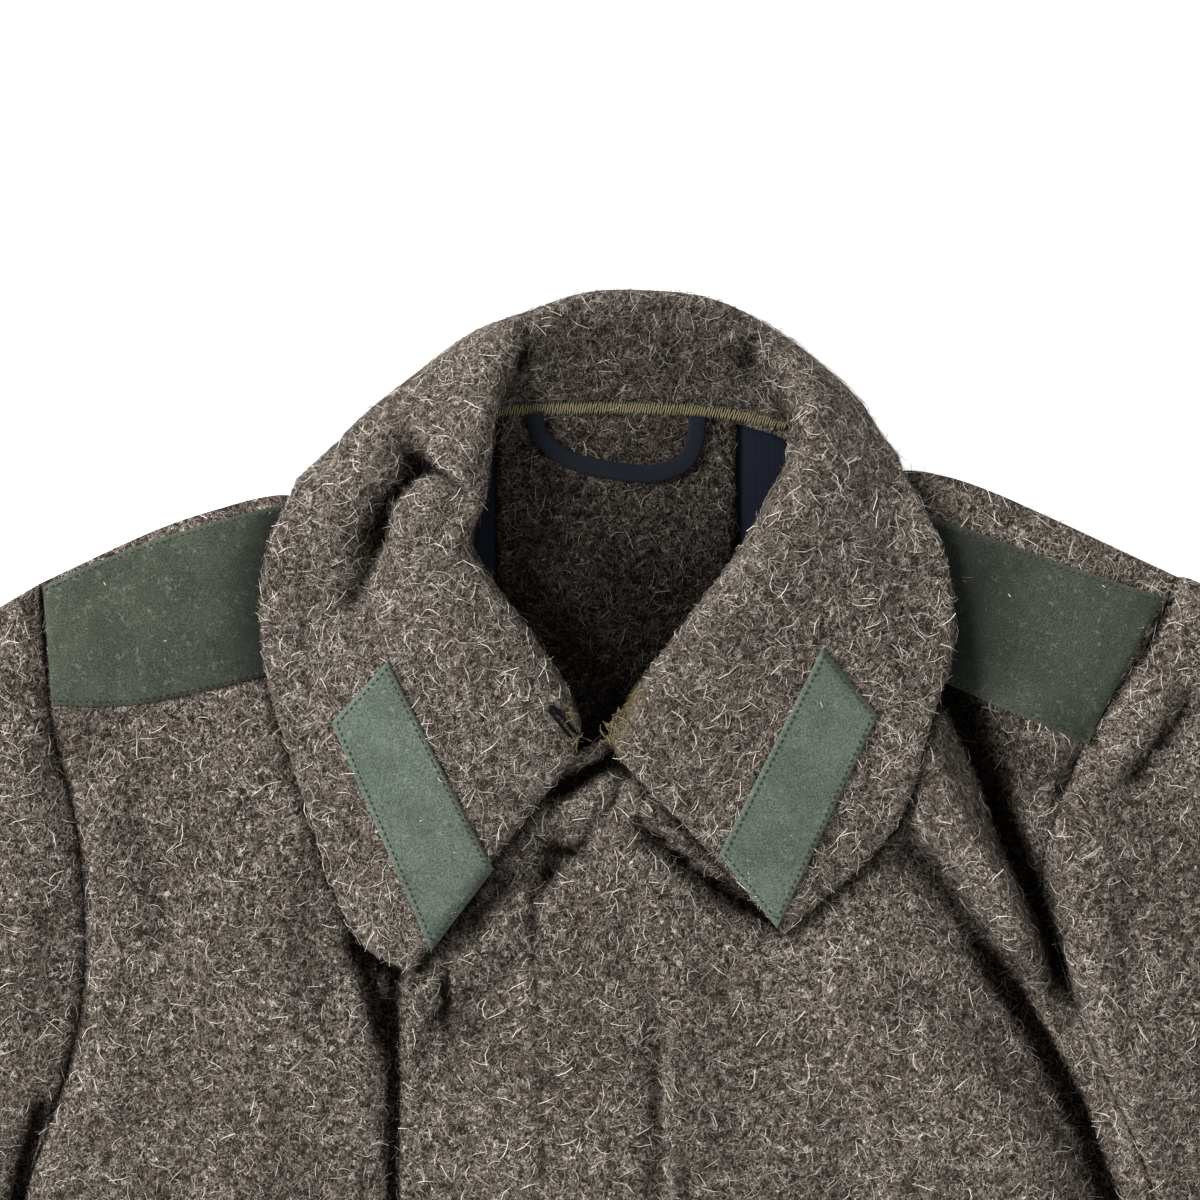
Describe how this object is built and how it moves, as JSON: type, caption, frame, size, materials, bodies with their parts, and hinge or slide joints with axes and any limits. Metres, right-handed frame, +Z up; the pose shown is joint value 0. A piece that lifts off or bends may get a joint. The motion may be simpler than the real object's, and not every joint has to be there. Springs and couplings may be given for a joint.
{
  "type": "greatcoat",
  "caption": "Heavy brown wool greatcoat laid on its back, with turned-down collar, green felt collar tabs and shoulder patches, wire collar hook, concealed fly and open lined neck.",
  "frame": {"origin": "middle of the underside, on the surface that the coat lies on", "axes": "+X towards the wearer's left sleeve, +Y towards the collar, +Z up, out of the chest"},
  "size_m": [1.1166, 1.2414, 0.0422],
  "materials": {
    "wool": "brushed, thick and hairy",
    "felt": "matt felt",
    "lining_cotton": "plain cotton",
    "loop_twill": "twill tape",
    "thread_black": "sewing thread",
    "thread_olive": "sewing thread",
    "hook_metal": "black gloss paint"
  },
  "bodies": {
    "root": {"back": "wool", "front_right": "wool", "front_left": "wool", "sleeve_right": "wool", "sleeve_left": "wool", "upper_collar": "wool", "under_collar": "wool", "collar_tab_right": "felt", "collar_tab_left": "felt", "shoulder_patch_right": "felt", "shoulder_patch_left": "felt", "neck_facing": "wool", "lining_right": "lining_cotton", "lining_left": "lining_cotton", "hanger_loop": "loop_twill", "collar_hook": "hook_metal"}
  },
  "joints": []
}
